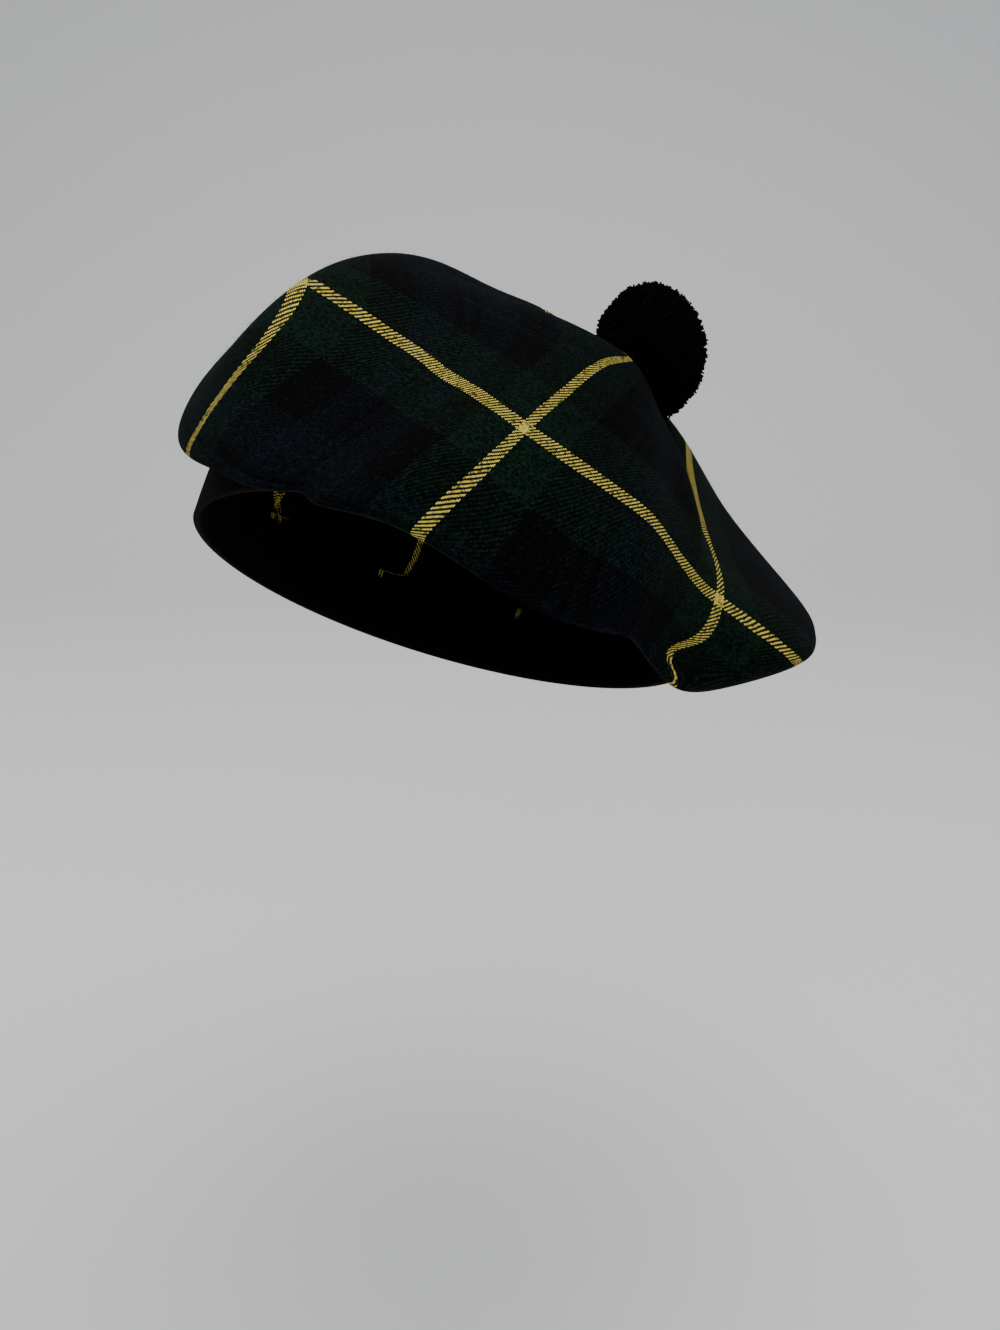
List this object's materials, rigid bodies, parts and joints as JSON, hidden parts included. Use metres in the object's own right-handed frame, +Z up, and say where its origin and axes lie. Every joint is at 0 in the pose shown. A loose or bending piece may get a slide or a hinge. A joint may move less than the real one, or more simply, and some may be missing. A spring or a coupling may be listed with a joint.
{
  "type": "tam o shanter",
  "caption": "Round wool tam o shanter with a draped tartan crown, a plain headband and a pompom, in the form it takes when worn.",
  "frame": {"origin": "middle of the head opening at the headband's lower edge", "axes": "+Z up as worn, the wearer looks along -Y, the wearer's left side is +X"},
  "size_m": [0.2121, 0.2688, 0.1855],
  "materials": {
    "tartan_wool": "woven twill wool, dark green, navy and black tartan with a thin yellow line",
    "black_felt": "black felted wool",
    "black_yarn": "black wool yarn, cut ends"
  },
  "bodies": {
    "root": {"crown_top": "tartan_wool", "crown_underside": "tartan_wool", "headband": "black_felt", "pompom": "black_yarn"}
  },
  "joints": []
}
